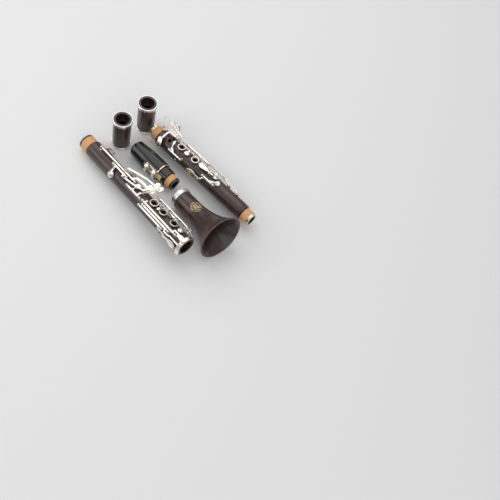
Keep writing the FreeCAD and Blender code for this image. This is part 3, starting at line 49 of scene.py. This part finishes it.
mounts = {mount["name"]: mount for mount in record["mounts"]}
MM = 0.001


# ------------------------------------------------------------------------------ materials
def fill_ramp(ramp, stops):
    """Give a colour ramp node its stops, each a position and a colour."""
    elements = ramp.color_ramp.elements
    while len(elements) < len(stops):
        elements.new(0.5)
    for element, (position, color) in zip(elements, stops):
        element.position = position
        element.color = (*color, 1)


class Look:
    """A small helper that builds one procedural material."""

    def __init__(self, name, color, metallic=0.0, roughness=0.4, **sockets):
        self.material = bpy.data.materials.new(name)
        self.material.use_nodes = True
        self.tree = self.material.node_tree
        self.shader = self.tree.nodes["Principled BSDF"]
        self.shader.inputs["Base Color"].default_value = (*color, 1)
        self.shader.inputs["Metallic"].default_value = metallic
        self.shader.inputs["Roughness"].default_value = roughness
        for socket, value in sockets.items():
            self.shader.inputs[socket.replace("_", " ")].default_value = value
        self.normal = None

    def node(self, kind, **settings):
        """A new node; each setting is one of its inputs or properties."""
        node = self.tree.nodes.new(kind)
        for key, value in settings.items():
            if key in node.inputs:
                node.inputs[key].default_value = value
            else:
                setattr(node, key, value)
        return node

    def link(self, source, target):
        self.tree.links.new(source, target)

    def place(self, scale=(1, 1, 1)):
        """Object coordinates, stretched by scale."""
        coords = self.node("ShaderNodeTexCoord")
        mapping = self.node("ShaderNodeMapping")
        mapping.inputs["Scale"].default_value = scale
        self.link(coords.outputs["Object"], mapping.inputs["Vector"])
        return mapping.outputs["Vector"]

    def noise(self, size_mm, stretch=(1, 1, 1), detail=3.0, rough=0.55):
        """Noise whose features are about size_mm across, from 0 to 1."""
        noise = self.node("ShaderNodeTexNoise")
        noise.inputs["Scale"].default_value = 1000.0 / size_mm
        noise.inputs["Detail"].default_value = detail
        noise.inputs["Roughness"].default_value = rough
        self.link(self.place(stretch), noise.inputs["Vector"])
        return noise.outputs["Fac"]

    def ramp(self, source, stops):
        """A colour read from source through a ramp."""
        ramp = self.node("ShaderNodeValToRGB")
        fill_ramp(ramp, stops)
        self.link(source, ramp.inputs["Fac"])
        return ramp.outputs["Color"]

    def vary(self, source, low, high, span=(0.3, 0.7)):
        """A number from low to high as source goes across span."""
        spread = self.node("ShaderNodeMapRange")
        spread.inputs["From Min"].default_value = span[0]
        spread.inputs["From Max"].default_value = span[1]
        spread.inputs["To Min"].default_value = low
        spread.inputs["To Max"].default_value = high
        self.link(source, spread.inputs["Value"])
        return spread.outputs["Result"]

    def multiply(self, first, second):
        """The product of two colours."""
        mix = self.node("ShaderNodeMix", data_type="RGBA", blend_type="MULTIPLY")
        mix.inputs["Factor"].default_value = 1.0
        for source, socket in zip((first, second), mix.inputs[6:8]):
            self.link(source, socket)
        return mix.outputs[2]

    def color(self, source):
        self.link(source, self.shader.inputs["Base Color"])

    def roughness(self, source):
        self.link(source, self.shader.inputs["Roughness"])

    def bump(self, source, depth_mm, strength=1.0):
        """Add relief; further calls stack on the ones before."""
        bump = self.node("ShaderNodeBump")
        bump.inputs["Strength"].default_value = strength
        bump.inputs["Distance"].default_value = depth_mm / 1000
        self.link(source, bump.inputs["Height"])
        if self.normal is not None:
            self.link(self.normal, bump.inputs["Normal"])
        self.normal = bump.outputs["Normal"]
        self.link(self.normal, self.shader.inputs["Normal"])


# How far a pattern is drawn out along each axis: wood grain runs along the joints and the bell,
# and up the standing barrels.
ALONG_X = (0.05, 1, 1)
ALONG_Z = (1, 1, 0.05)


def make_grenadilla(name, along):
    """Dark oiled wood with fine pores along the grain and a few reddish streaks."""
    look = Look(name, (0.03, 0.018, 0.014), 0, 0.32, Coat_Weight=0.35, Coat_Roughness=0.22)
    streak = look.noise(5.0, along, 5.0, 0.6)
    wood = look.ramp(streak, [(0.30, (0.018, 0.011, 0.010)), (0.47, (0.036, 0.020, 0.015)),
                              (0.60, (0.085, 0.034, 0.022)), (0.80, (0.036, 0.020, 0.015))])
    pore = look.noise(0.55, along, 2.0, 0.5)
    dark = look.ramp(pore, [(0.34, (0.25, 0.22, 0.20)), (0.46, (1, 1, 1))])
    look.color(look.multiply(wood, dark))
    look.roughness(look.vary(streak, 0.27, 0.40))
    look.bump(pore, 0.05, 0.6)
    look.bump(look.noise(1.8, along, 3.0), 0.04, 0.5)
    return look.material


def make_silver():
    """Polished plate, with faint handling haze and warm tan patches here and there that are a
    painted reflection of the cork and pads.
    """
    look = Look("silver_plate", (0.90, 0.86, 0.79), 1.0, 0.2)
    haze = look.noise(4.0, (1, 1, 1), 4.0)
    # Painted reflection: random warm tan patches stand in for the tan cork and pads mirrored in the
    # silver.
    painted_warm_reflection = look.ramp(look.noise(9.0, (1, 1, 1), 2.0),
                     [(0.45, (0.94, 0.90, 0.84)), (0.75, (0.88, 0.80, 0.68))])
    grey = look.ramp(haze, [(0.3, (1, 1, 1)), (0.75, (0.92, 0.91, 0.90))])
    look.color(look.multiply(painted_warm_reflection, grey))
    look.roughness(look.vary(haze, 0.14, 0.26))
    look.bump(look.noise(7.0, (1, 1, 1), 1.0), 0.04, 0.4)
    return look.material


def make_ring_metal():
    """Satin ring with a fine hammered grain and turning marks."""
    look = Look("ring_metal", (0.82, 0.83, 0.80), 1.0, 0.3)
    cells = look.node("ShaderNodeTexVoronoi")
    cells.inputs["Scale"].default_value = 1700
    look.link(look.place(), cells.inputs["Vector"])
    look.color(look.ramp(look.noise(3.0), [(0.3, (0.72, 0.74, 0.71)), (0.7, (0.90, 0.90, 0.86))]))
    look.bump(cells.outputs["Distance"], 0.09, 0.7)
    look.roughness(look.vary(look.noise(2.0), 0.20, 0.38))
    return look.material


def make_tip_metal():
    """Pale cream metal with turning marks round the tenon."""
    look = Look("tip_metal", (0.83, 0.80, 0.67), 1.0, 0.34)
    look.color(look.ramp(look.noise(2.5), [(0.3, (0.74, 0.70, 0.56)), (0.7, (0.88, 0.85, 0.72))]))
    look.roughness(look.vary(look.noise(1.2, (1, 0.1, 0.1)), 0.26, 0.42))
    look.bump(look.noise(0.5, (1, 0.08, 0.08)), 0.03, 0.6)
    return look.material


def make_cork():
    """Sanded cork: warm tan with small dark lenticels and pits."""
    look = Look("cork", (0.7, 0.45, 0.26), 0, 0.85)
    grain = look.noise(1.6, (1, 1, 1), 5.0, 0.7)
    base = look.ramp(grain, [(0.25, (0.64, 0.31, 0.13)), (0.5, (0.76, 0.40, 0.185)),
                             (0.75, (0.83, 0.47, 0.24))])
    spots = look.noise(0.9, (1.0, 0.5, 0.5), 2.0, 0.4)
    speck = look.ramp(spots, [(0.28, (0.62, 0.50, 0.40)), (0.36, (1, 1, 1))])
    look.color(look.multiply(base, speck))
    look.bump(grain, 0.06, 0.6)
    look.bump(spots, 0.10, 0.5)
    return look.material


def make_pad_skin():
    """Tan skin drawn over felt."""
    look = Look("pad_skin", (0.83, 0.70, 0.48), 0, 0.6, Subsurface_Weight=0.1)
    look.color(look.ramp(look.noise(2.2), [(0.3, (0.74, 0.48, 0.28)), (0.7, (0.88, 0.68, 0.45))]))
    look.bump(look.noise(0.8), 0.05, 0.5)
    return look.material


def make_ebonite():
    """Polished black ebonite with light handling marks."""
    look = Look("ebonite", (0.010, 0.010, 0.011), 0, 0.16, Specular_IOR_Level=0.55)
    marks = look.noise(9.0, (1, 1, 1), 6.0, 0.7)
    look.color(look.ramp(marks, [(0.3, (0.009, 0.009, 0.010)), (0.7, (0.017, 0.018, 0.018))]))
    look.roughness(look.vary(marks, 0.13, 0.20))
    look.bump(look.noise(18.0, (1, 1, 1), 1.0), 0.02, 0.2)
    return look.material


def make_cane():
    """Straw-coloured cane with fibres along the reed."""
    look = Look("cane", (0.78, 0.60, 0.30), 0, 0.5)
    fibre = look.noise(0.7, (0.02, 1, 1), 3.0)
    look.color(look.ramp(fibre, [(0.3, (0.62, 0.43, 0.18)), (0.55, (0.80, 0.62, 0.31)),
                                 (0.8, (0.88, 0.74, 0.43))]))
    look.bump(fibre, 0.05, 0.6)
    return look.material


def make_gold_line():
    """Pale polished gold, a little uneven."""
    look = Look("gold_line", (0.86, 0.70, 0.42), 1.0, 0.22)
    look.color(look.ramp(look.noise(1.5), [(0.3, (0.80, 0.60, 0.32)), (0.7, (0.92, 0.77, 0.50))]))
    look.roughness(look.vary(look.noise(2.0), 0.16, 0.3))
    return look.material


def make_steel():
    """Drawn steel with fine marks along it."""
    look = Look("steel", (0.62, 0.62, 0.63), 1.0, 0.26)
    look.roughness(look.vary(look.noise(0.8, (1, 0.2, 0.2)), 0.2, 0.36))
    look.bump(look.noise(0.4, (0.1, 1, 1)), 0.02, 0.5)
    return look.material


LOOKS = {
    "grenadilla": make_grenadilla("grenadilla", ALONG_X),
    "silver_plate": make_silver(), "ring_metal": make_ring_metal(),
    "tip_metal": make_tip_metal(), "cork": make_cork(), "pad_skin": make_pad_skin(),
    "ebonite": make_ebonite(), "cane": make_cane(), "gold_line": make_gold_line(),
    "steel": make_steel()}
upright_wood = make_grenadilla("grenadilla_upright", ALONG_Z)

for name, node in nodes.items():
    node.data.materials.clear()
    node.data.materials.append(LOOKS[slots[name]])
for name in ("barrel_a", "barrel_b"):
    nodes[name].data.materials[0] = upright_wood


# ----------------------------------------------------------------------- rounded metalwork
VOXEL = 0.31 * MM
SMOOTH_PASSES = 3
KEEP_FACES = 0.5
WELD = 0.002 * MM
PAD_LIMIT = 12 * MM
PADDED_KEYS = ("b_natural_key", "e_flat_sliver_key", "g_sharp_key", "thumb_ring_key", "a_key",
               "register_key", "side_key_")


def add_piece(name, mesh, body, materials):
    piece = bpy.data.objects.new(name, mesh)
    bpy.context.scene.collection.objects.link(piece)
    mesh.materials.clear()
    for material in materials:
        mesh.materials.append(material)
    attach(piece, body)
    return piece


def islands_of(node_name):
    """The separate solids of a CAD node, as welded bmesh copies."""
    whole = bmesh.new()
    whole.from_mesh(nodes[node_name].data)
    bmesh.ops.remove_doubles(whole, verts=whole.verts, dist=WELD)
    whole.verts.index_update()
    whole.faces.index_update()
    left = set(whole.verts)
    found = []
    while left:
        queue = [left.pop()]
        group = set(queue)
        while queue:
            for edge in queue.pop().link_edges:
                for vert in edge.verts:
                    if vert in left:
                        left.remove(vert)
                        group.add(vert)
                        queue.append(vert)
        found.append(group)
    solids = []
    for group in sorted(found, key=lambda g: min(v.index for v in g)):
        solid = bmesh.new()
        copies = {vert: solid.verts.new(vert.co) for vert in sorted(group, key=lambda v: v.index)}
        faces = {face for vert in group for face in vert.link_faces}
        for face in sorted(faces, key=lambda f: f.index):
            solid.faces.new([copies[vert] for vert in face.verts])
        solids.append(solid)
    whole.free()
    return solids


def melted(solid):
    """A solid's mesh with its edges rounded, as cast and polished metal has them."""
    mesh = bpy.data.meshes.new("melting")
    solid.to_mesh(mesh)
    holder = bpy.data.objects.new("melting", mesh)
    bpy.context.scene.collection.objects.link(holder)
    remesh = holder.modifiers.new("remesh", "REMESH")
    remesh.mode = "VOXEL"
    remesh.voxel_size = VOXEL
    soften = holder.modifiers.new("soften", "SMOOTH")
    soften.factor = 0.5
    soften.iterations = SMOOTH_PASSES
    thin = holder.modifiers.new("thin", "DECIMATE")
    thin.ratio = KEEP_FACES
    graph = bpy.context.evaluated_depsgraph_get()
    result = bpy.data.meshes.new_from_object(holder.evaluated_get(graph))
    bpy.data.objects.remove(holder)
    bpy.data.meshes.remove(mesh)
    return result


def is_pad(solid):
    """A pad is a small flat disc, so no side of its box is longer than PAD_LIMIT."""
    spread = [max(v.co[i] for v in solid.verts) - min(v.co[i] for v in solid.verts)
              for i in range(3)]
    return max(spread) < PAD_LIMIT


def polish(node_name):
    """Replace a silver node by rounded copies of its solids; a pad keeps its own skin."""
    padded = node_name.startswith(PADDED_KEYS)
    joined = bmesh.new()
    for solid in islands_of(node_name):
        mesh = melted(solid)
        for polygon in mesh.polygons:
            polygon.use_smooth = True
            polygon.material_index = 1 if padded and is_pad(solid) else 0
        joined.from_mesh(mesh)
        bpy.data.meshes.remove(mesh)
        solid.free()
    whole = bpy.data.meshes.new(node_name + "_polished")
    joined.to_mesh(whole)
    joined.free()
    materials = [LOOKS["silver_plate"]]
    if padded:
        materials.append(LOOKS["pad_skin"])
    piece = add_piece(node_name + "_polished", whole, body_of[node_name], materials)
    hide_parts(node_name)


for silver_name in [name for name in nodes if slots[name] == "silver_plate"]:
    polish(silver_name)


# -------------------------------------------------------------------------- slotted screws
SLOT_WIDTH = 0.45 * MM
HEAD_HEIGHT = 0.55 * MM
HEAD_RADIUS = 1.45 * MM
HEAD_SIDE = 0.7          # share of the height below the turned-over edge
HEAD_TOP = 0.88          # share of the radius across the flat top
HEAD_SINK = 0.1 * MM
HEAD_POINTS = 9
ROD_END = 2.5 * MM
SLOT_TWIST = 1.1


def screw_head(target, centre, axis, twist):
    """A round head whose top is split by a driver slot, added to a bmesh."""
    across = axis.orthogonal().normalized()
    across.rotate(Matrix.Rotation(twist, 3, axis))
    other = axis.cross(across)
    half = SLOT_WIDTH / 2
    start = math.asin(half / HEAD_RADIUS)
    for side in (1, -1):
        outline = []
        for step in range(HEAD_POINTS):
            angle = start + (math.pi - 2 * start) * step / (HEAD_POINTS - 1)
            outline.append((math.cos(angle) * HEAD_RADIUS, side * math.sin(angle) * HEAD_RADIUS))
        levels = ((0.0, 1.0), (HEAD_HEIGHT * HEAD_SIDE, 1.0), (HEAD_HEIGHT, HEAD_TOP))
        rings = []
        for height, share in levels:
            ring = []
            for first, second in outline:
                second = side * max(abs(second) * share, half)
                spot = centre + axis * height + across * (first * share) + other * second
                ring.append(target.verts.new(spot))
            rings.append(ring)
        for lower, upper in zip(rings, rings[1:]):
            for i in range(HEAD_POINTS):
                j = (i + 1) % HEAD_POINTS
                target.faces.new((lower[i], lower[j], upper[j], upper[i]))
        target.faces.new(rings[-1])
        target.faces.new(list(reversed(rings[0])))


def add_rod_heads(rods_name, body):
    """A slotted head on the end of each rod, where its post holds it."""
    heads = bmesh.new()
    for number, solid in enumerate(islands_of(rods_name)):
        spots = [vert.co.copy() for vert in solid.verts]
        centre = sum(spots, Vector()) / len(spots)
        far = max(spots, key=lambda spot: (spot - centre).length)
        end_spots = [spot for spot in spots if (spot - far).length < ROD_END]
        end = sum(end_spots, Vector()) / len(end_spots)
        axis = (end - centre).normalized()
        screw_head(heads, end - axis * HEAD_SINK, axis, number * SLOT_TWIST)
        solid.free()
    bmesh.ops.recalc_face_normals(heads, faces=heads.faces)
    mesh = bpy.data.meshes.new(rods_name + "_heads")
    heads.to_mesh(mesh)
    heads.free()
    add_piece(rods_name + "_heads", mesh, body, [LOOKS["steel"]])


add_rod_heads("lower_rods", "lower_section")
add_rod_heads("upper_rods", "upper_section")


# ------------------------------------------------------------------- ornament on the bell
# The rosette is laid out flat in millimetres, then wrapped onto the bell.
ORNAMENT_ALONG = 44.0    # from the bell's ring end
BELL_RADIUS_THERE = 19.0
PETALS = 8
PETAL_MIDDLE = 5.6       # from the rosette's centre
PETAL_HALF = 3.2
PETAL_WIDTH = 1.5        # to each side of the petal's middle line
PETAL_STEPS = 16
CORE_RADIUS = 1.4
RIM_RADIUS = 10.0
RING_STEPS = 32
RAY_HEIGHT = 60 * MM
LINE_RADIUS = 0.34 * MM


def bell_frame():
    """The bell's axis as the record gives it: the ring end, the way to the rim, up and right."""
    mount = mounts["bell_socket"]
    outward = Vector(mount["axis"]).normalized()
    start = Vector(mount["pos_m"]) + outward * mount["dims"]["length_mm"] / 2 * MM
    along = -outward
    up = (Vector((0, 0, 1)) - along * along.z).normalized()
    return start, along, up, up.cross(along)


def petal(number):
    """One closed petal of the rosette, as (along, across) points in millimetres."""
    turn = number * 2 * math.pi / PETALS
    points = []
    for step in range(PETAL_STEPS + 1):
        angle = 2 * math.pi * step / PETAL_STEPS
        reach = PETAL_MIDDLE - PETAL_HALF * math.cos(angle)
        aside = PETAL_WIDTH * math.sin(angle)
        points.append((reach * math.cos(turn) - aside * math.sin(turn),
                       reach * math.sin(turn) + aside * math.cos(turn)))
    return points


def ring_of(radius):
    """A closed circle, as (along, across) points in millimetres."""
    angles = [2 * math.pi * step / RING_STEPS for step in range(RING_STEPS + 1)]
    return [(radius * math.cos(angle), radius * math.sin(angle)) for angle in angles]


def add_flourish():
    """A round rosette in gold: a plain ornament, not a name."""
    start, along, up, right = bell_frame()
    welded = bmesh.new()
    welded.from_mesh(nodes["bell"].data)
    bmesh.ops.remove_doubles(welded, verts=welded.verts, dist=WELD)
    surface = BVHTree.FromBMesh(welded)

    def seat(spot):
        """Where a flat point of the rosette meets the bell's wood."""
        distance, across = spot
        angle = across / BELL_RADIUS_THERE
        way = up * math.cos(angle) + right * math.sin(angle)
        base = start + along * (ORNAMENT_ALONG + distance) * MM
        hit = surface.ray_cast(base + way * RAY_HEIGHT, -way)
        return hit[0]

    strokes = [petal(number) for number in range(PETALS)]
    strokes += [ring_of(CORE_RADIUS), ring_of(RIM_RADIUS)]
    curve = bpy.data.curves.new("bell_flourish", "CURVE")
    curve.dimensions = "3D"
    curve.bevel_depth = LINE_RADIUS
    curve.bevel_resolution = 2
    for stroke in strokes:
        spline = curve.splines.new("NURBS")
        spline.points.add(len(stroke) - 1)
        for point, spot in zip(spline.points, stroke):
            point.co = (*seat(spot), 1)
        spline.order_u = 3
        spline.use_endpoint_u = True
    welded.free()
    holder = bpy.data.objects.new("flourish_curve", curve)
    bpy.context.scene.collection.objects.link(holder)
    graph = bpy.context.evaluated_depsgraph_get()
    mesh = bpy.data.meshes.new_from_object(holder.evaluated_get(graph))
    bpy.data.objects.remove(holder)
    for polygon in mesh.polygons:
        polygon.use_smooth = True
    add_piece("bell_flourish", mesh, "bell_section", [LOOKS["gold_line"]])


add_flourish()


# ---------------------------------------------------------------------------- table, light
bpy.ops.mesh.primitive_plane_add(size=12, location=(0, 0, 0))
floor = bpy.context.object
floor.name = "table"
floor.data.materials.append(Look("table_paper", (0.86, 0.86, 0.855), 0, 0.9).material)


def area_light(name, place, target, size, power):
    light = bpy.data.lights.new(name, "AREA")
    light.size = size
    light.energy = power
    holder = bpy.data.objects.new(name, light)
    bpy.context.scene.collection.objects.link(holder)
    holder.location = place
    holder.rotation_euler = (Vector(target) - Vector(place)).to_track_quat("-Z", "Y").to_euler()


def make_world():
    """A studio that is bright overhead and darker low down, so that metal has something to show."""
    world = bpy.data.worlds.new("studio")
    world.use_nodes = True
    tree = world.node_tree
    coords = tree.nodes.new("ShaderNodeTexCoord")
    split = tree.nodes.new("ShaderNodeSeparateXYZ")
    ramp = tree.nodes.new("ShaderNodeValToRGB")
    fill_ramp(ramp, [(0.0, (0.36, 0.36, 0.37)), (0.28, (0.50, 0.50, 0.51)),
                     (0.6, (0.95, 0.95, 0.96))])
    tree.links.new(coords.outputs["Generated"], split.inputs["Vector"])
    tree.links.new(split.outputs["Z"], ramp.inputs["Fac"])
    tree.links.new(ramp.outputs["Color"], tree.nodes["Background"].inputs["Color"])
    tree.nodes["Background"].inputs["Strength"].default_value = 0.55
    return world


area_light("key", (-0.7, 0.5, 1.5), (0, 0, 0), 1.9, 13)
area_light("fill", (1.3, -0.9, 1.1), (0, 0, 0), 1.6, 6)
area_light("back", (-0.9, -1.1, 0.8), (0, 0, 0), 0.9, 5)
bpy.context.scene.world = make_world()
bpy.context.scene.view_settings.view_transform = "Standard"

# ---------------------------------------------------------------------------------- camera
# The camera's own axes in the row frame, and where it stands.
RIGHT = Vector((0.6925, 0.6988, 0.1793))
DOWN = Vector((0.6833, -0.5556, -0.4738))
FORWARD = Vector((-0.2315, 0.4506, -0.8622))
CAMERA_PLACE = Vector((0.4707, -0.5561, 1.1145))
lens = bpy.data.cameras.new("camera")
lens.lens = 57.6
lens.sensor_width = 36
camera = bpy.data.objects.new("camera", lens)
bpy.context.scene.collection.objects.link(camera)
turn = Matrix((RIGHT, -DOWN, -FORWARD)).transposed()
camera.matrix_world = Matrix.Translation(CAMERA_PLACE) @ turn.to_4x4()
bpy.context.scene.camera = camera
